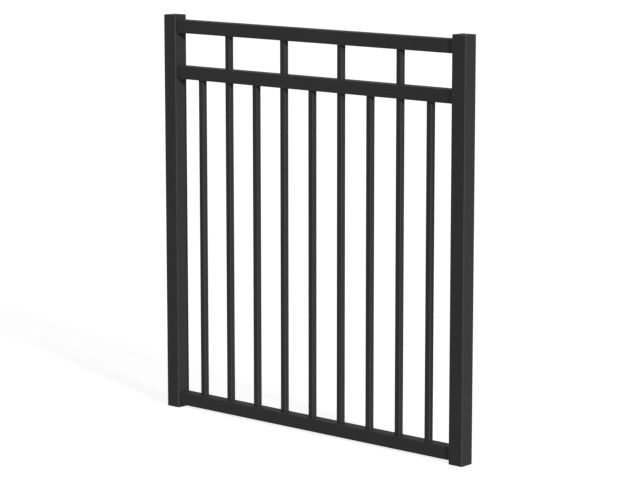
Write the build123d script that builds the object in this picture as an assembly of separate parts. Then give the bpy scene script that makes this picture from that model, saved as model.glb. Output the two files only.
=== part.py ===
from build123d import *
import math
import os

# Pedestrian gate leaf made of powder-coated aluminium tube, in millimetres.
# X runs along the gate, the front faces -Y and +Z is up.
# The origin is the middle of the left stile's outer face, on the gate's middle plane.

# Whole leaf
GATE_WIDTH = 1219.2
GATE_HEIGHT = 1279.0

# Stiles: the square uprights at the two ends
STILE_SIZE = 50.8
STILE_WALL = 3.2
STILE_CORNER = 3.0

# Caps: a flush plate on each end of a stile, with a skirt that plugs the bore
CAP_PLATE = 3.0
CAP_EDGE = 0.8
CAP_SKIRT_WALL = 2.0
CAP_FIT = 0.3
CAP_RAIL_GAP = 1.5

# Rails: rectangular tube, let into the stiles
RAIL_HEIGHT = 41.3
RAIL_DEPTH = 38.1
RAIL_WALL = 2.0
RAIL_CORNER = 2.0
RAIL_FIT = 0.5
RAIL_END_GAP = 0.3
TOP_RAIL_DROP = 15.2
UPPER_BAY_HEIGHT = 105.2
BOTTOM_RAIL_RISE = 10.2

# Pickets: square tube, let into the rails
PICKET_SIZE = 19.05
PICKET_WALL = 1.6
PICKET_CORNER = 2.0
PICKET_GAP = 96.8
PICKET_FIT = 0.4
PICKET_END_GAP = 0.3

# Heights of the stile ends and of each rail's underside
stile_foot = -GATE_HEIGHT / 2
stile_head = GATE_HEIGHT / 2
top_rail_z = stile_head - TOP_RAIL_DROP - RAIL_HEIGHT
middle_rail_z = top_rail_z - UPPER_BAY_HEIGHT - RAIL_HEIGHT
bottom_rail_z = stile_foot + BOTTOM_RAIL_RISE

# As few pickets as leave no space wider than the picket gap, centred between the stiles
clear_width = GATE_WIDTH - 2 * STILE_SIZE
picket_pitch = PICKET_SIZE + PICKET_GAP
picket_count = math.ceil((clear_width - PICKET_GAP) / picket_pitch)
first_picket_x = GATE_WIDTH / 2 - picket_pitch * (picket_count - 1) / 2
picket_places = [first_picket_x + picket_pitch * i for i in range(picket_count)]

# Every second picket runs on through the middle rail to the top rail
tall_places = picket_places[1::2]
middle_plane = Plane.YZ.offset(GATE_WIDTH / 2)


def upright_bar(size, corner, length):
    """Square bar with rounded corners, standing on the origin."""
    return extrude(RectangleRounded(size, size, corner), length)


def upright_tube(size, corner, wall, length):
    """Square tube with rounded outer corners, standing on the origin."""
    bore = size - 2 * wall
    return upright_bar(size, corner, length) - extrude(Rectangle(bore, bore), length)


def level_bar(depth, height, corner, length):
    """Rectangular bar with rounded corners along +X, resting on the origin's level."""
    section = Plane.YZ * RectangleRounded(depth, height, corner)
    return Pos(0, 0, height / 2) * extrude(section, length)


def stile():
    """Left stile: a square tube whose inner wall is routed out for the three rails."""
    length = GATE_HEIGHT - 2 * CAP_PLATE
    body = upright_tube(STILE_SIZE, STILE_CORNER, STILE_WALL, length)
    body = Pos(STILE_SIZE / 2, 0, stile_foot + CAP_PLATE) * body
    hole = level_bar(
        RAIL_DEPTH + 2 * RAIL_FIT,
        RAIL_HEIGHT + 2 * RAIL_FIT,
        RAIL_CORNER + RAIL_FIT,
        STILE_SIZE,
    )
    rail_levels = (bottom_rail_z, middle_rail_z, top_rail_z)
    return body - [Pos(STILE_SIZE / 2, 0, z - RAIL_FIT) * hole for z in rail_levels]


def cap():
    """Left stile's top cap: the skirt stops short of the rail nearest to a stile end."""
    plate = upright_bar(STILE_SIZE, STILE_CORNER, CAP_PLATE)
    plate = fillet(plate.faces().sort_by(Axis.Z)[-1].edges(), CAP_EDGE)
    skirt_depth = min(TOP_RAIL_DROP, BOTTOM_RAIL_RISE) - CAP_PLATE - CAP_RAIL_GAP
    skirt_size = STILE_SIZE - 2 * STILE_WALL - 2 * CAP_FIT
    skirt_bore = skirt_size - 2 * CAP_SKIRT_WALL
    skirt = extrude(Rectangle(skirt_size, skirt_size) - Rectangle(skirt_bore, skirt_bore), -skirt_depth)
    return Pos(STILE_SIZE / 2, 0, stile_head - CAP_PLATE) * (plate + skirt)


def rail(underside, holes_below, holes_above):
    """Rail that reaches the stiles' outer walls, punched for pickets from below and above."""
    first_end = STILE_WALL + RAIL_END_GAP
    length = GATE_WIDTH - 2 * first_end
    section = RectangleRounded(RAIL_DEPTH, RAIL_HEIGHT, RAIL_CORNER)
    section -= Rectangle(RAIL_DEPTH - 2 * RAIL_WALL, RAIL_HEIGHT - 2 * RAIL_WALL)
    middle = underside + RAIL_HEIGHT / 2
    body = Pos(first_end, 0, middle) * extrude(Plane.YZ * section, length)
    punch = upright_bar(PICKET_SIZE + 2 * PICKET_FIT, PICKET_CORNER + PICKET_FIT, RAIL_HEIGHT)
    punches = [Pos(x, 0, middle - RAIL_HEIGHT) * punch for x in holes_below]
    punches += [Pos(x, 0, middle) * punch for x in holes_above]
    return body - punches


def picket(x, head_rail_z):
    """Picket that stands inside the bottom rail and ends inside the head rail."""
    foot = bottom_rail_z + RAIL_WALL + PICKET_END_GAP
    head = head_rail_z + RAIL_HEIGHT - RAIL_WALL - PICKET_END_GAP
    return Pos(x, 0, foot) * upright_tube(PICKET_SIZE, PICKET_CORNER, PICKET_WALL, head - foot)


left_stile = stile()
left_top_cap = cap()
left_bottom_cap = mirror(left_top_cap, about=Plane.XY)

pieces = {
    "left_stile": left_stile,
    "right_stile": mirror(left_stile, about=middle_plane),
    "left_top_cap": left_top_cap,
    "left_bottom_cap": left_bottom_cap,
    "right_top_cap": mirror(left_top_cap, about=middle_plane),
    "right_bottom_cap": mirror(left_bottom_cap, about=middle_plane),
    "top_rail": rail(top_rail_z, tall_places, []),
    "middle_rail": rail(middle_rail_z, picket_places, tall_places),
    "bottom_rail": rail(bottom_rail_z, [], picket_places),
}
for number, place in enumerate(picket_places, start=1):
    head_rail_z = top_rail_z if place in tall_places else middle_rail_z
    pieces[f"picket_{number}"] = picket(place, head_rail_z)

os.makedirs("parts", exist_ok=True)
for node, piece in pieces.items():
    export_step(piece, f"parts/{node}.step")
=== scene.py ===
import math

import bmesh
import bpy
from bpy.props import FloatProperty, FloatVectorProperty, IntProperty, PointerProperty
from mathutils import Matrix, Vector


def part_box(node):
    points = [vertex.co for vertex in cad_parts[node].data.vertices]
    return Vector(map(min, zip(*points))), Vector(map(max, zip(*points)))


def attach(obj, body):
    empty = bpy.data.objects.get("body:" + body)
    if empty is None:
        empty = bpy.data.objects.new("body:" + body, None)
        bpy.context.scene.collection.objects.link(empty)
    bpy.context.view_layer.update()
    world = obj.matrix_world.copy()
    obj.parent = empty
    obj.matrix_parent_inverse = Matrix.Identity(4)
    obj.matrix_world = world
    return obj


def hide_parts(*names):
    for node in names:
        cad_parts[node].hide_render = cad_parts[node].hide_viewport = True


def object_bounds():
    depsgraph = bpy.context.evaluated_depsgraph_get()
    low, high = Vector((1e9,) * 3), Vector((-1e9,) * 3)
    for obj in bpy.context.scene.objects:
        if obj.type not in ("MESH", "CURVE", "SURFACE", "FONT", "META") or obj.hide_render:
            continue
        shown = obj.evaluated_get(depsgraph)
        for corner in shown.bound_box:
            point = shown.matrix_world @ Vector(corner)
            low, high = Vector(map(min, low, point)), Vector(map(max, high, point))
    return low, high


bl_info = {
    "name": "Pedestrian gate",
    "version": (1, 0, 0),
    "blender": (4, 5, 0),
    "location": "View3D > Sidebar > Gate",
    "description": "Coated tubes, caps and a small studio for a pedestrian gate of square tube",
    "category": "Add Mesh",
}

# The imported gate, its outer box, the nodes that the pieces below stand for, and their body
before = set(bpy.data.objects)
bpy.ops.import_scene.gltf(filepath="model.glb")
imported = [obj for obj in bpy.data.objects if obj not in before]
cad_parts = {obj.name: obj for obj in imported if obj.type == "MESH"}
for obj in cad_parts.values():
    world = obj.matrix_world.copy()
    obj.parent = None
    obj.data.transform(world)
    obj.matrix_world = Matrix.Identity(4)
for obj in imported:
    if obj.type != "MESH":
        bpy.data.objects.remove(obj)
CAD_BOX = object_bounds()
STILES = ("left_stile", "right_stile")
CAPS = ("left_top_cap", "left_bottom_cap", "right_top_cap", "right_bottom_cap")
RAILS = ("top_rail", "middle_rail", "bottom_rail")
PICKETS = sorted((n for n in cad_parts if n.startswith("picket_")), key=lambda n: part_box(n)[0].x)
BODY = "root"

# Kinds of tree input, and the distance within which points become one
FLOAT = "NodeSocketFloat"
COUNT = "NodeSocketInt"
MATERIAL = "NodeSocketMaterial"
OBJECT = "NodeSocketObject"
WELD = 1e-6

# Share of a face's normal along X from which the face lies flat across X
SQUARE_ON = 0.999

# Turn from which an edge counts as cut, and the steps that round it
CUT_TURN = math.radians(50.0)
CUT_STEPS = 2

# Name of the mesh attribute that marks rounded corners for the painted highlight, the turn up to which a
# surface counts as flat, and the turn at a corner's middle
PAINTED_HIGHLIGHT_MASK = "corner"
FLAT_TURN = math.radians(12.0)
MIDDLE_TURN = math.radians(45.0)

# Colour sockets of a Mix node: its two inputs and its result
MIX_FIRST = 6
MIX_SECOND = 7
MIX_RESULT = 2

# White, and the width of the camera's sensor in millimetres
WHITE = (1.0, 1.0, 1.0, 1.0)
SENSOR_WIDTH = 36.0


def middle(node):
    """Centre of a node's box."""
    low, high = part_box(node)
    return (low + high) / 2


def extent(node):
    """Length of a node's box along each axis."""
    low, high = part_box(node)
    return high - low


class GatePartSizes(bpy.types.PropertyGroup):
    """Sizes of the tubes and caps that their outer boxes don't give."""

    stile_corner: FloatProperty(
        name="Stile corner", description="Radius on the long edges of a stile",
        default=0.003, min=0.0002, unit="LENGTH",
    )
    stile_wall: FloatProperty(
        name="Stile wall", description="Thickness of a stile's wall",
        default=0.0032, min=0.0005, unit="LENGTH",
    )
    rail_corner: FloatProperty(
        name="Rail corner", description="Radius on the long edges of a rail",
        default=0.002, min=0.0002, unit="LENGTH",
    )
    rail_wall: FloatProperty(
        name="Rail wall", description="Thickness of a rail's wall",
        default=0.002, min=0.0005, unit="LENGTH",
    )
    rail_fit: FloatProperty(
        name="Rail fit", description="Gap round a rail in the hole routed for it in a stile",
        default=0.0005, min=0.0001, unit="LENGTH",
    )
    picket_corner: FloatProperty(
        name="Picket corner", description="Radius on the long edges of a picket",
        default=0.002, min=0.0002, unit="LENGTH",
    )
    picket_wall: FloatProperty(
        name="Picket wall", description="Thickness of a picket's wall",
        default=0.0016, min=0.0005, unit="LENGTH",
    )
    picket_fit: FloatProperty(
        name="Picket fit", description="Gap round a picket in the hole punched for it in a rail",
        default=0.0004, min=0.0001, unit="LENGTH",
    )
    cap_fit: FloatProperty(
        name="Cap fit", description="Gap between a cap's skirt and the stile's bore",
        default=0.0003, min=0.0001, unit="LENGTH",
    )
    cap_skirt_wall: FloatProperty(
        name="Cap skirt wall", description="Thickness of a cap's skirt",
        default=0.002, min=0.0005, unit="LENGTH",
    )
    cap_edge: FloatProperty(
        name="Cap edge", description="Radius on the rim of a cap",
        default=0.0006, min=0.0, unit="LENGTH",
    )
    coated_edge: FloatProperty(
        name="Coated edge", description="Radius that the coat leaves on cut tube ends and hole edges",
        default=0.0003, min=0.0, unit="LENGTH",
    )
    corner_steps: IntProperty(
        name="Corner steps", description="Points along each rounded corner",
        default=5, min=1, max=16,
    )


class GateCoat(bpy.types.PropertyGroup):
    """The black powder coat."""

    colour: FloatVectorProperty(
        name="Colour", description="Colour of the coat",
        default=(0.027, 0.027, 0.0272), size=3, min=0.0, max=1.0, subtype="COLOR",
    )
    tone_change: FloatProperty(
        name="Tone change", description="How far the colour wanders, as a share of itself",
        default=0.12, min=0.0, max=1.0, subtype="FACTOR",
    )
    # Painted highlight: this share of the colour is added on the rounded corners to stand in for the light
    # that they catch.
    painted_corner_highlight: FloatProperty(
        name="Corner tone", description="Share of the colour added where the coat thins over a corner",
        default=1.4, min=0.0, max=4.0, subtype="FACTOR",
    )
    roughness: FloatProperty(
        name="Roughness", description="Mean roughness of the satin surface",
        default=0.7, min=0.0, max=1.0, subtype="FACTOR",
    )
    roughness_change: FloatProperty(
        name="Roughness change", description="How far the roughness wanders to each side",
        default=0.05, min=0.0, max=0.5, subtype="FACTOR",
    )
    gloss: FloatProperty(
        name="Gloss", description="Specular level of the coat",
        default=0.12, min=0.0, max=1.0, subtype="FACTOR",
    )
    peel_size: FloatProperty(
        name="Peel size", description="Width of one ripple of the sprayed surface",
        default=0.0026, min=0.0005, unit="LENGTH",
    )
    peel_height: FloatProperty(
        name="Peel height", description="Height of the ripples",
        default=0.00016, min=0.0, unit="LENGTH", precision=6,
    )
    grain_size: FloatProperty(
        name="Grain size", description="Width of one grain of the melted powder",
        default=0.0007, min=0.0001, unit="LENGTH", precision=5,
    )
    cloud_size: FloatProperty(
        name="Cloud size", description="Width of the slow changes of tone along a tube",
        default=0.12, min=0.01, unit="LENGTH",
    )


class GateStudio(bpy.types.PropertyGroup):
    """The camera, the lamps and the floor."""

    azimuth: FloatProperty(
        name="Azimuth", description="Turn of the camera to the right of the gate's front",
        default=math.radians(41.14), subtype="ANGLE",
    )
    elevation: FloatProperty(
        name="Elevation", description="Height of the camera above the level of its target",
        default=math.radians(9.425), subtype="ANGLE",
    )
    distance: FloatProperty(
        name="Distance", description="From the camera to its target",
        default=7.697, min=0.1, unit="LENGTH",
    )
    target: FloatVectorProperty(
        name="Target", description="Point that the camera looks at",
        default=(0.6405, 0.0, -0.0239), size=3, subtype="TRANSLATION", unit="LENGTH",
    )
    lens: FloatProperty(
        name="Lens", description="Focal length of the camera in millimetres",
        default=140.7, min=1.0, unit="CAMERA",
    )
    key_azimuth: FloatProperty(
        name="Key azimuth", description="Turn of the key light to the right of the gate's front",
        default=math.radians(72.5), subtype="ANGLE",
    )
    key_elevation: FloatProperty(
        name="Key elevation", description="Height of the key light above the horizon",
        default=math.radians(13.0), subtype="ANGLE",
    )
    key_spread: FloatProperty(
        name="Key spread", description="Width of the key light as seen from the gate",
        default=math.radians(8.0), subtype="ANGLE",
    )
    key_level: FloatProperty(
        name="Key level", description="Brightness that the key light gives a white card that faces it",
        default=1.0, min=0.0,
    )
    fill_azimuth: FloatProperty(
        name="Fill azimuth", description="Turn of the fill light to the right of the gate's front",
        default=math.radians(-10.0), subtype="ANGLE",
    )
    fill_elevation: FloatProperty(
        name="Fill elevation", description="Height of the fill light above the horizon",
        default=math.radians(10.0), subtype="ANGLE",
    )
    fill_spread: FloatProperty(
        name="Fill spread", description="Width of the fill light as seen from the gate",
        default=math.radians(40.0), subtype="ANGLE",
    )
    fill_level: FloatProperty(
        name="Fill level", description="Brightness that the fill light gives a white card that faces it",
        default=0.22, min=0.0,
    )
    back_azimuth: FloatProperty(
        name="Back azimuth", description="Turn of the back light to the right of the gate's front",
        default=math.radians(184.0), subtype="ANGLE",
    )
    back_elevation: FloatProperty(
        name="Back elevation", description="Height of the back light above the horizon",
        default=math.radians(6.0), subtype="ANGLE",
    )
    back_spread: FloatProperty(
        name="Back spread", description="Width of the back light as seen from the gate",
        default=math.radians(20.0), subtype="ANGLE",
    )
    back_level: FloatProperty(
        name="Back level", description="Brightness that the back light gives a white card that faces it",
        default=0.32, min=0.0,
    )
    left_azimuth: FloatProperty(
        name="Left azimuth", description="Turn of the left light to the right of the gate's front",
        default=math.radians(264.0), subtype="ANGLE",
    )
    left_elevation: FloatProperty(
        name="Left elevation", description="Height of the left light above the horizon",
        default=math.radians(6.0), subtype="ANGLE",
    )
    left_spread: FloatProperty(
        name="Left spread", description="Width of the left light as seen from the gate",
        default=math.radians(20.0), subtype="ANGLE",
    )
    left_level: FloatProperty(
        name="Left level", description="Brightness that the left light gives a white card that faces it",
        default=0.36, min=0.0,
    )
    ambient: FloatProperty(
        name="Ambient", description="Strength of the even light from all round",
        default=0.12, min=0.0,
    )
    floor_colour: FloatProperty(
        name="Floor colour", description="Grey of the floor",
        default=0.6, min=0.0, max=1.0, subtype="FACTOR",
    )
    floor_glow: FloatProperty(
        name="Floor glow", description="Light that lifts the floor to white for the camera",
        default=0.8, min=0.0, max=1.0, subtype="FACTOR",
    )
    floor_size: FloatProperty(
        name="Floor size", description="Side of the floor",
        default=60.0, min=1.0, unit="LENGTH",
    )


class TreeMaker:
    """Builds one geometry node tree with named inputs and one geometry output."""

    def __init__(self, name, inputs):
        self.tree = bpy.data.node_groups.new(name, "GeometryNodeTree")
        for label, kind in inputs.items():
            self.tree.interface.new_socket(label, in_out="INPUT", socket_type=kind)
        self.tree.interface.new_socket("Geometry", in_out="OUTPUT", socket_type="NodeSocketGeometry")
        self.given = self.tree.nodes.new("NodeGroupInput").outputs

    def add(self, kind, feeds=None, **settings):
        """Adds a node, sets its options, and feeds its inputs with values or other nodes' sockets."""
        node = self.tree.nodes.new(kind)
        for option, value in settings.items():
            setattr(node, option, value)
        for key, value in (feeds or {}).items():
            for single in value if isinstance(value, list) else [value]:
                if isinstance(single, bpy.types.NodeSocket):
                    self.tree.links.new(single, node.inputs[key])
                else:
                    node.inputs[key].default_value = single
        return node.outputs[0] if node.outputs else None

    def sum(self, first, second):
        return self.add("ShaderNodeMath", {0: first, 1: second}, operation="ADD")

    def less(self, first, second):
        return self.add("ShaderNodeMath", {0: first, 1: second}, operation="SUBTRACT")

    def times(self, first, second):
        return self.add("ShaderNodeMath", {0: first, 1: second}, operation="MULTIPLY")

    def vector(self, x=0.0, y=0.0, z=0.0):
        return self.add("ShaderNodeCombineXYZ", {"X": x, "Y": y, "Z": z})

    def join(self, *parts):
        return self.add("GeometryNodeJoinGeometry", {"Geometry": list(parts)})

    def move(self, part, place, turn=(0.0, 0.0, 0.0)):
        return self.add("GeometryNodeTransform", {"Geometry": part, "Translation": place, "Rotation": turn})

    def rectangle(self, width, height):
        return self.add("GeometryNodeCurvePrimitiveQuadrilateral", {"Width": width, "Height": height})

    def rounded(self, width, height, corner, steps):
        """Closed outline of a rectangle with rounded corners."""
        feeds = {"Curve": self.rectangle(width, height), "Count": steps, "Radius": corner}
        return self.add("GeometryNodeFilletCurve", feeds, mode="POLY")

    def fill(self, *outlines):
        """Flat face within the outer outline and outside the inner ones."""
        return self.add("GeometryNodeFillCurve", {"Curve": self.join(*outlines)}, mode="NGONS")

    def weld(self, part):
        return self.add("GeometryNodeMergeByDistance", {"Geometry": part, "Distance": WELD})

    def raise_faces(self, part, height):
        """Closed solid: the flat part, its copy at that height, and the walls between them."""
        feeds = {"Mesh": part, "Offset": self.vector(z=height), "Individual": False}
        raised = self.add("GeometryNodeExtrudeMesh", feeds, mode="FACES")
        return self.weld(self.join(self.add("GeometryNodeFlipFaces", {"Mesh": part}), raised))

    def group(self, tree, feeds):
        """Adds another tree as one node."""
        return self.add("GeometryNodeGroup", feeds, node_tree=tree)

    def close(self, part):
        """Realizes, welds and coats the result, and hands back the tree."""
        part = self.weld(self.add("GeometryNodeRealizeInstances", {"Geometry": part}))
        part = self.add("GeometryNodeSetMaterial", {"Geometry": part, "Material": self.given["Coat"]})
        self.tree.links.new(part, self.tree.nodes.new("NodeGroupOutput").inputs["Geometry"])
        return self.tree


TUBE_INPUTS = {
    "Width": FLOAT,
    "Depth": FLOAT,
    "Corner": FLOAT,
    "Wall": FLOAT,
    "Length": FLOAT,
    "Corner Steps": COUNT,
    "Coat": MATERIAL,
}


def tube_tree():
    """Tube that stands on the origin: a ring of wall raised to its length."""
    make = TreeMaker("Tube", TUBE_INPUTS)
    given = make.given
    both_walls = make.times(given["Wall"], 2.0)
    outline = make.rounded(given["Width"], given["Depth"], given["Corner"], given["Corner Steps"])
    bore = make.rectangle(make.less(given["Width"], both_walls), make.less(given["Depth"], both_walls))
    return make.close(make.raise_faces(make.fill(outline, bore), given["Length"]))


def punched_tube_tree(tube):
    """Tube with rounded holes through its +X wall and its -X wall, at the heights of two sets of points."""
    inputs = dict(TUBE_INPUTS)
    inputs.update({
        "Hole Height": FLOAT,
        "Hole Depth": FLOAT,
        "Hole Corner": FLOAT,
        "Front Places": OBJECT,
        "Back Places": OBJECT,
    })
    make = TreeMaker("Punched tube", inputs)
    given = make.given
    whole = make.group(tube, {label: given[label] for label in TUBE_INPUTS})

    # The flat walls across X are taken off, and come back with their holes
    normal = make.add("GeometryNodeInputNormal")
    across = make.add("ShaderNodeSeparateXYZ", {"Vector": normal})
    facing = make.add("ShaderNodeMath", {0: across}, operation="ABSOLUTE")
    flat_wall = make.add("FunctionNodeCompare", {"A": facing, "B": SQUARE_ON}, operation="GREATER_THAN")
    feeds = {"Geometry": whole, "Selection": flat_wall}
    parts = [make.add("GeometryNodeDeleteGeometry", feeds, domain="FACE")]

    hole_size = (given["Hole Height"], given["Hole Depth"])
    hole = make.rounded(*hole_size, given["Hole Corner"], given["Corner Steps"])
    half_length = make.vector(x=make.times(given["Length"], 0.5))
    skin_depth = make.less(given["Depth"], make.times(given["Corner"], 2.0))
    bore_depth = make.less(given["Depth"], make.times(given["Wall"], 2.0))
    skin = make.move(make.rectangle(given["Length"], skin_depth), half_length)
    lining = make.move(make.rectangle(given["Length"], bore_depth), half_length)
    inwards = make.vector(z=given["Wall"])
    wall_place = make.vector(x=make.times(given["Width"], 0.5))
    for label, turn in (("Front Places", 0.0), ("Back Places", math.pi)):
        places_node = make.tree.nodes.new("GeometryNodeObjectInfo")
        make.tree.links.new(given[label], places_node.inputs["Object"])
        places = places_node.outputs["Geometry"]
        holes = make.add("GeometryNodeInstanceOnPoints", {"Points": places, "Instance": hole})
        holes = make.add("GeometryNodeRealizeInstances", {"Geometry": holes})
        rims = make.add("GeometryNodeCurveToMesh", {"Curve": holes})
        feeds = {"Mesh": rims, "Offset": inwards}
        sides = make.add("GeometryNodeExtrudeMesh", feeds, mode="EDGES")
        wall = make.join(make.fill(skin, holes), sides, make.move(make.fill(lining, holes), inwards))
        wall = make.move(wall, wall_place, (0.0, -math.pi / 2, 0.0))
        parts.append(make.move(wall, (0.0, 0.0, 0.0), (0.0, 0.0, turn)))
    return make.close(make.join(*parts))


def picket_row_tree(tube):
    """Row of tubes along X, each second one tall."""
    inputs = {
        "Size": FLOAT,
        "Corner": FLOAT,
        "Wall": FLOAT,
        "Short Length": FLOAT,
        "Tall Length": FLOAT,
        "Spacing": FLOAT,
        "Count": COUNT,
        "Corner Steps": COUNT,
        "Coat": MATERIAL,
    }
    make = TreeMaker("Picket row", inputs)
    given = make.given
    section = {"Width": given["Size"], "Depth": given["Size"]}
    section.update({label: given[label] for label in ("Corner", "Wall", "Corner Steps", "Coat")})
    feeds = {"Count": given["Count"], "Offset": make.vector(x=given["Spacing"])}
    places = make.add("GeometryNodeMeshLine", feeds)
    index = make.add("GeometryNodeInputIndex")
    second = make.add("FunctionNodeIntegerMath", {0: index, 1: 2}, operation="MODULO")
    first = make.add("FunctionNodeIntegerMath", {0: 1, 1: second}, operation="SUBTRACT")
    rows = []
    for chosen, label in ((first, "Short Length"), (second, "Tall Length")):
        picket = make.group(tube, {**section, "Length": given[label]})
        feeds = {"Points": places, "Selection": chosen, "Instance": picket}
        rows.append(make.add("GeometryNodeInstanceOnPoints", feeds))
    return make.close(make.join(*rows))


def caps_tree(tube):
    """Two caps over the stile heads and two under the stile feet, each a plate with a skirt."""
    inputs = {
        "Size": FLOAT,
        "Corner": FLOAT,
        "Plate": FLOAT,
        "Skirt Size": FLOAT,
        "Skirt Wall": FLOAT,
        "Skirt Depth": FLOAT,
        "Spacing": FLOAT,
        "Head": FLOAT,
        "Corner Steps": COUNT,
        "Coat": MATERIAL,
    }
    make = TreeMaker("Stile caps", inputs)
    given = make.given
    outline = make.rounded(given["Size"], given["Size"], given["Corner"], given["Corner Steps"])
    plate = make.raise_faces(make.fill(outline), given["Plate"])
    half_plate = make.times(given["Plate"], 0.5)
    skirt = make.group(tube, {
        "Width": given["Skirt Size"],
        "Depth": given["Skirt Size"],
        "Corner": make.times(given["Skirt Wall"], 0.5),
        "Wall": given["Skirt Wall"],
        "Length": make.sum(given["Skirt Depth"], half_plate),
        "Corner Steps": given["Corner Steps"],
        "Coat": given["Coat"],
    })
    skirt = make.move(skirt, make.vector(z=make.times(given["Skirt Depth"], -1.0)))
    cap = make.add("GeometryNodeMeshBoolean", {"Mesh 2": [plate, skirt]}, operation="UNION", solver="EXACT")
    start = make.vector(z=given["Head"])
    feeds = {"Count": 2, "Start Location": start, "Offset": make.vector(x=given["Spacing"])}
    heads = make.add("GeometryNodeMeshLine", feeds)
    top_pair = make.add("GeometryNodeInstanceOnPoints", {"Points": heads, "Instance": cap})
    bottom_pair = make.move(top_pair, (0.0, 0.0, 0.0), (math.pi, 0.0, 0.0))
    return make.close(make.join(top_pair, bottom_pair))


def shared_tree(name, maker, *needs):
    """The tree of that name, made the first time it is asked for."""
    return bpy.data.node_groups.get(name) or maker(*needs)


def hole_places(name, heights):
    """Points that mark the middles of a wall's holes, measured along the tube."""
    mesh = bpy.data.meshes.new(name)
    mesh.from_pydata([(height, 0.0, 0.0) for height in heights], [], [])
    marks = bpy.data.objects.new(name, mesh)
    bpy.context.scene.collection.objects.link(marks)
    return marks


def evaluated_mesh(piece):
    """Applies and clears a piece's modifiers, and hands back the plain mesh."""
    bpy.context.view_layer.update()
    graph = bpy.context.evaluated_depsgraph_get()
    mesh = bpy.data.meshes.new_from_object(piece.evaluated_get(graph), depsgraph=graph)
    piece.modifiers.clear()
    return mesh


def mark_painted_highlight(mesh):
    """Stores 0 on the flats and up to 1 at the middle of a rounded corner, as the mask of the coat's
    painted highlight.
    """
    turns = [math.acos(min(1.0, max(map(abs, point.normal)))) for point in mesh.vertices]
    shares = [(turn - FLAT_TURN) / (MIDDLE_TURN - FLAT_TURN) for turn in turns]
    marks = mesh.attributes.new(PAINTED_HIGHLIGHT_MASK, "FLOAT", "POINT")
    marks.data.foreach_set("value", [min(1.0, max(0.0, share)) for share in shares])


def grown_piece(name, tree, values, place, edge):
    """Runs a tree with those values, sets the result in place and softens its cut edges."""
    piece = bpy.data.objects.new(name, bpy.data.meshes.new(name))
    bpy.context.scene.collection.objects.link(piece)
    grow = piece.modifiers.new("grow", "NODES")
    grow.node_group = tree
    for item in tree.interface.items_tree:
        if item.in_out == "INPUT" and values.get(item.name) is not None:
            grow[item.identifier] = values[item.name]
    mesh = evaluated_mesh(piece)
    if not mesh.polygons:
        raise RuntimeError(f"the tree {tree.name} gave {name} no faces")
    mesh.materials.clear()
    mesh.materials.append(values["Coat"])
    mesh.transform(place)
    shell = bmesh.new()
    shell.from_mesh(mesh)
    bmesh.ops.recalc_face_normals(shell, faces=shell.faces)
    for face in shell.faces:
        face.smooth = True
    shell.to_mesh(mesh)
    shell.free()
    piece.data = mesh

    soften = piece.modifiers.new("soften", "BEVEL")
    soften.width = edge
    soften.segments = CUT_STEPS
    soften.limit_method = "ANGLE"
    soften.angle_limit = CUT_TURN
    level = piece.modifiers.new("level", "WEIGHTED_NORMAL")
    level.keep_sharp = True
    piece.data = evaluated_mesh(piece)
    piece.data.name = name
    mark_painted_highlight(piece.data)
    return piece


def fasten(piece, *nodes):
    """Sets a finished piece on the gate in place of those nodes."""
    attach(piece, BODY)
    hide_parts(*nodes)


def powder_coat(coat):
    """Black powder coat: clouds of tone, a painted highlight on the rounded corners, grain in the roughness
    and a sprayed ripple.
    """
    name = "satin_black_coat"
    finish = bpy.data.materials.get(name)
    if finish:
        return finish
    finish = bpy.data.materials.new(name)
    finish.use_nodes = True
    nodes = finish.node_tree.nodes
    links = finish.node_tree.links
    shader = nodes["Principled BSDF"]
    shader.inputs["Specular IOR Level"].default_value = coat.gloss
    where = nodes.new("ShaderNodeTexCoord").outputs["Object"]

    def noise(size, detail):
        """Noise with features of about that size."""
        texture = nodes.new("ShaderNodeTexNoise")
        texture.inputs["Scale"].default_value = 1.0 / size
        texture.inputs["Detail"].default_value = detail
        links.new(where, texture.inputs["Vector"])
        return texture.outputs["Fac"]

    def tone(share):
        """The coat's colour times a share."""
        return (*(share * level for level in coat.colour), 1.0)

    clouds = nodes.new("ShaderNodeMix")
    clouds.data_type = "RGBA"
    clouds.inputs[MIX_FIRST].default_value = tone(1.0 - coat.tone_change)
    clouds.inputs[MIX_SECOND].default_value = tone(1.0 + coat.tone_change)
    links.new(noise(coat.cloud_size, detail=3.0), clouds.inputs["Factor"])

    # Painted highlight: a lighter tone is added on the rounded corners in place of the light that they
    # catch.
    painted_highlight = nodes.new("ShaderNodeMix")
    painted_highlight.data_type = "RGBA"
    painted_highlight.blend_type = "ADD"
    painted_highlight.inputs[MIX_SECOND].default_value = tone(coat.painted_corner_highlight)
    corner = nodes.new("ShaderNodeAttribute")
    corner.attribute_name = PAINTED_HIGHLIGHT_MASK
    links.new(corner.outputs["Fac"], painted_highlight.inputs["Factor"])
    links.new(clouds.outputs[MIX_RESULT], painted_highlight.inputs[MIX_FIRST])
    links.new(painted_highlight.outputs[MIX_RESULT], shader.inputs["Base Color"])

    grain = nodes.new("ShaderNodeMapRange")
    grain.inputs["To Min"].default_value = coat.roughness - coat.roughness_change
    grain.inputs["To Max"].default_value = coat.roughness + coat.roughness_change
    links.new(noise(coat.grain_size, detail=1.0), grain.inputs["Value"])
    links.new(grain.outputs["Result"], shader.inputs["Roughness"])

    peel = nodes.new("ShaderNodeBump")
    peel.inputs["Distance"].default_value = coat.peel_height
    links.new(noise(coat.peel_size, detail=2.0), peel.inputs["Height"])
    links.new(peel.outputs["Normal"], shader.inputs["Normal"])
    return finish


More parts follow.
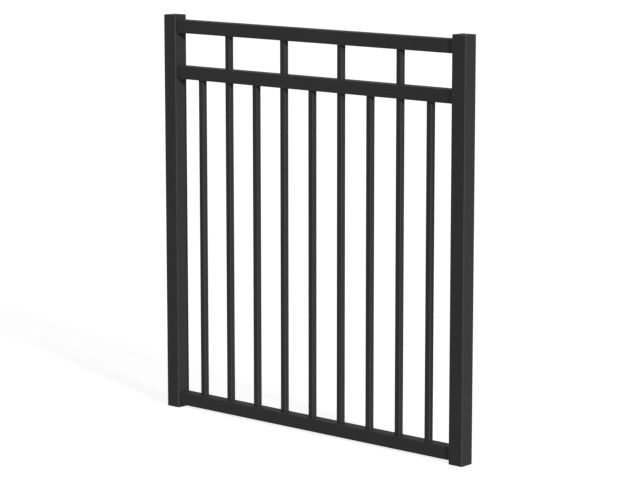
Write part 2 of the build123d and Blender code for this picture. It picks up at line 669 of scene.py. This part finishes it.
class MakeStiles(bpy.types.Operator):
    """Make the two stiles, routed on their inner walls for the rails"""

    bl_idname = "gate.make_stiles"
    bl_label = "Stiles"

    def execute(self, context):
        sizes = context.scene.gate_sizes
        tube = shared_tree("Tube", tube_tree)
        tree = shared_tree("Punched tube", punched_tube_tree, tube)
        rail = extent(RAILS[0])
        for node, face in zip(STILES, ("Front Places", "Back Places")):
            low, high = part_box(node)
            marks = hole_places("rail_marks", [middle(name).z - low.z for name in RAILS])
            values = {
                "Width": high.x - low.x,
                "Depth": high.y - low.y,
                "Corner": sizes.stile_corner,
                "Wall": sizes.stile_wall,
                "Length": high.z - low.z,
                "Corner Steps": sizes.corner_steps,
                "Coat": powder_coat(context.scene.gate_coat),
                "Hole Height": rail.z + 2 * sizes.rail_fit,
                "Hole Depth": rail.y + 2 * sizes.rail_fit,
                "Hole Corner": sizes.rail_corner + sizes.rail_fit,
                face: marks,
            }
            foot = Vector((middle(node).x, middle(node).y, low.z))
            piece = grown_piece(f"{node}_tube", tree, values, Matrix.Translation(foot), sizes.coated_edge)
            bpy.data.objects.remove(marks)
            fasten(piece, node)
        return {"FINISHED"}


class MakeCaps(bpy.types.Operator):
    """Make the four caps that close the stile ends"""

    bl_idname = "gate.make_caps"
    bl_label = "Caps"

    def execute(self, context):
        sizes = context.scene.gate_sizes
        tree = shared_tree("Stile caps", caps_tree, shared_tree("Tube", tube_tree))
        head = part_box(STILES[0])[1].z
        skirt_foot, plate_top = (corner.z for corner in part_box(CAPS[0]))
        stile = extent(STILES[0])
        values = {
            "Size": stile.x,
            "Corner": sizes.stile_corner,
            "Plate": plate_top - head,
            "Skirt Size": stile.x - 2 * (sizes.stile_wall + sizes.cap_fit),
            "Skirt Wall": sizes.cap_skirt_wall,
            "Skirt Depth": head - skirt_foot,
            "Spacing": middle(STILES[1]).x - middle(STILES[0]).x,
            "Head": head,
            "Corner Steps": sizes.corner_steps,
            "Coat": powder_coat(context.scene.gate_coat),
        }
        start = Matrix.Translation((middle(STILES[0]).x, middle(STILES[0]).y, 0.0))
        fasten(grown_piece("stile_caps", tree, values, start, sizes.cap_edge), *CAPS)
        return {"FINISHED"}


class MakeRails(bpy.types.Operator):
    """Make the three rails, punched where the pickets enter them"""

    bl_idname = "gate.make_rails"
    bl_label = "Rails"

    def execute(self, context):
        sizes = context.scene.gate_sizes
        tube = shared_tree("Tube", tube_tree)
        tree = shared_tree("Punched tube", punched_tube_tree, tube)
        hole = extent(PICKETS[0]).x + 2 * sizes.picket_fit
        for node in RAILS:
            low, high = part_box(node)
            below = [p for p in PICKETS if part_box(p)[0].z < low.z]
            above = [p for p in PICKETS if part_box(p)[1].z > high.z]
            under_marks = hole_places("under_marks", [middle(p).x - low.x for p in below])
            over_marks = hole_places("over_marks", [middle(p).x - low.x for p in above])
            values = {
                "Width": high.z - low.z,
                "Depth": high.y - low.y,
                "Corner": sizes.rail_corner,
                "Wall": sizes.rail_wall,
                "Length": high.x - low.x,
                "Corner Steps": sizes.corner_steps,
                "Coat": powder_coat(context.scene.gate_coat),
                "Hole Height": hole,
                "Hole Depth": hole,
                "Hole Corner": sizes.picket_corner + sizes.picket_fit,
                "Front Places": under_marks,
                "Back Places": over_marks,
            }
            end = Matrix.Translation((low.x, middle(node).y, middle(node).z))
            lying = end @ Matrix.Rotation(math.pi / 2, 4, "Y")
            piece = grown_piece(f"{node}_tube", tree, values, lying, sizes.coated_edge)
            bpy.data.objects.remove(under_marks)
            bpy.data.objects.remove(over_marks)
            fasten(piece, node)
        return {"FINISHED"}


class MakePickets(bpy.types.Operator):
    """Make the row of pickets, short and tall by turns"""

    bl_idname = "gate.make_pickets"
    bl_label = "Pickets"

    def execute(self, context):
        sizes = context.scene.gate_sizes
        tree = shared_tree("Picket row", picket_row_tree, shared_tree("Tube", tube_tree))
        first = middle(PICKETS[0])
        values = {
            "Size": extent(PICKETS[0]).x,
            "Corner": sizes.picket_corner,
            "Wall": sizes.picket_wall,
            "Short Length": extent(PICKETS[0]).z,
            "Tall Length": extent(PICKETS[1]).z,
            "Spacing": (middle(PICKETS[-1]).x - first.x) / (len(PICKETS) - 1),
            "Count": len(PICKETS),
            "Corner Steps": sizes.corner_steps,
            "Coat": powder_coat(context.scene.gate_coat),
        }
        foot = Matrix.Translation((first.x, first.y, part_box(PICKETS[0])[0].z))
        fasten(grown_piece("picket_row", tree, values, foot, sizes.coated_edge), *PICKETS)
        return {"FINISHED"}


def seen_directly(nodes, links):
    """Factor of 1 for what the camera, a reflection or glass sees, and 0 for light that falls on things."""
    path = nodes.new("ShaderNodeLightPath")
    seen = path.outputs["Is Camera Ray"]
    for name in ("Is Glossy Ray", "Is Transmission Ray"):
        either = nodes.new("ShaderNodeMath")
        either.operation = "MAXIMUM"
        links.new(seen, either.inputs[0])
        links.new(path.outputs[name], either.inputs[1])
        seen = either.outputs[0]
    return seen


def even_surroundings(studio):
    """World that lights the gate evenly from all round, and is white where it is seen."""
    world = bpy.data.worlds.new("surroundings")
    world.use_nodes = True
    nodes = world.node_tree.nodes
    links = world.node_tree.links
    light = nodes["Background"]
    light.inputs["Color"].default_value = WHITE
    strength = nodes.new("ShaderNodeMapRange")
    strength.inputs["To Min"].default_value = studio.ambient
    strength.inputs["To Max"].default_value = 1.0
    links.new(seen_directly(nodes, links), strength.inputs["Value"])
    links.new(strength.outputs["Result"], light.inputs["Strength"])
    bpy.context.scene.world = world


def pale_floor(studio):
    """Floor under the stiles: pale grey that catches the shadow, lifted to white where it is seen."""
    mesh = bpy.data.meshes.new("floor")
    half = studio.floor_size / 2
    level = CAD_BOX[0].z
    middle_x = (CAD_BOX[0].x + CAD_BOX[1].x) / 2
    corners = [(middle_x + x * half, y * half, level) for x, y in ((-1, -1), (1, -1), (1, 1), (-1, 1))]
    mesh.from_pydata(corners, [], [(0, 1, 2, 3)])
    floor = bpy.data.objects.new("floor", mesh)
    bpy.context.scene.collection.objects.link(floor)
    paint = bpy.data.materials.new("pale_floor")
    paint.use_nodes = True
    nodes = paint.node_tree.nodes
    links = paint.node_tree.links
    shader = nodes["Principled BSDF"]
    shader.inputs["Base Color"].default_value = (*[studio.floor_colour] * 3, 1.0)
    shader.inputs["Roughness"].default_value = 1.0
    shader.inputs["Specular IOR Level"].default_value = 0.0
    glow = nodes.new("ShaderNodeEmission")
    glow.inputs["Color"].default_value = WHITE
    strength = nodes.new("ShaderNodeMath")
    strength.operation = "MULTIPLY"
    strength.inputs[1].default_value = studio.floor_glow
    links.new(seen_directly(nodes, links), strength.inputs[0])
    links.new(strength.outputs[0], glow.inputs["Strength"])
    both = nodes.new("ShaderNodeAddShader")
    links.new(shader.outputs["BSDF"], both.inputs[0])
    links.new(glow.outputs["Emission"], both.inputs[1])
    links.new(both.outputs["Shader"], nodes["Material Output"].inputs["Surface"])
    mesh.materials.append(paint)


def direction(turn, rise):
    """Unit vector that points to the right of the gate's front by one angle and up by the other."""
    return Vector((math.sin(turn) * math.cos(rise), -math.cos(turn) * math.cos(rise), math.sin(rise)))


def soft_lamp(studio, role):
    """Even light from far off, as wide as its role needs for soft shadows."""
    name = f"{role}_light"
    lamp = bpy.data.lights.new(name, "SUN")
    lamp.angle = getattr(studio, f"{role}_spread")
    lamp.energy = math.pi * getattr(studio, f"{role}_level")
    holder = bpy.data.objects.new(name, lamp)
    way = direction(getattr(studio, f"{role}_azimuth"), getattr(studio, f"{role}_elevation"))
    holder.rotation_euler = (-way).to_track_quat("-Z", "Y").to_euler()
    bpy.context.scene.collection.objects.link(holder)


def view_camera(studio):
    """Camera that looks at the gate as the photograph does."""
    lens = bpy.data.cameras.new("camera")
    lens.sensor_width = SENSOR_WIDTH
    lens.lens = studio.lens
    camera = bpy.data.objects.new("camera", lens)
    back = direction(studio.azimuth, studio.elevation)
    camera.location = Vector(studio.target) + back * studio.distance
    camera.rotation_euler = (-back).to_track_quat("-Z", "Y").to_euler()
    bpy.context.scene.collection.objects.link(camera)
    bpy.context.scene.camera = camera


class MakeStage(bpy.types.Operator):
    """Make the floor, the surroundings, the lamps and the camera"""

    bl_idname = "gate.make_stage"
    bl_label = "Studio"

    def execute(self, context):
        studio = context.scene.gate_studio
        context.scene.view_settings.view_transform = "Standard"
        even_surroundings(studio)
        pale_floor(studio)
        for role in ("key", "fill", "back", "left"):
            soft_lamp(studio, role)
        view_camera(studio)
        return {"FINISHED"}


class GatePanel(bpy.types.Panel):
    """Sizes, coat and studio of the gate, and the steps that make it"""

    bl_idname = "GATE_PT_build"
    bl_label = "Pedestrian gate"
    bl_space_type = "VIEW_3D"
    bl_region_type = "UI"
    bl_category = "Gate"

    def draw(self, context):
        for group in (context.scene.gate_sizes, context.scene.gate_coat, context.scene.gate_studio):
            box = self.layout.box()
            for name in group.__annotations__:
                box.prop(group, name)
        for step in (MakeStiles, MakeCaps, MakeRails, MakePickets, MakeStage):
            self.layout.operator(step.bl_idname)


CLASSES = (
    GatePartSizes,
    GateCoat,
    GateStudio,
    MakeStiles,
    MakeCaps,
    MakeRails,
    MakePickets,
    MakeStage,
    GatePanel,
)


def register():
    for item in CLASSES:
        bpy.utils.register_class(item)
    bpy.types.Scene.gate_sizes = PointerProperty(type=GatePartSizes)
    bpy.types.Scene.gate_coat = PointerProperty(type=GateCoat)
    bpy.types.Scene.gate_studio = PointerProperty(type=GateStudio)


def unregister():
    del bpy.types.Scene.gate_studio
    del bpy.types.Scene.gate_coat
    del bpy.types.Scene.gate_sizes
    for item in reversed(CLASSES):
        bpy.utils.unregister_class(item)


def main():
    register()
    bpy.ops.gate.make_stiles()
    bpy.ops.gate.make_caps()
    bpy.ops.gate.make_rails()
    bpy.ops.gate.make_pickets()
    bpy.ops.gate.make_stage()


if __name__ == "__main__":
    main()
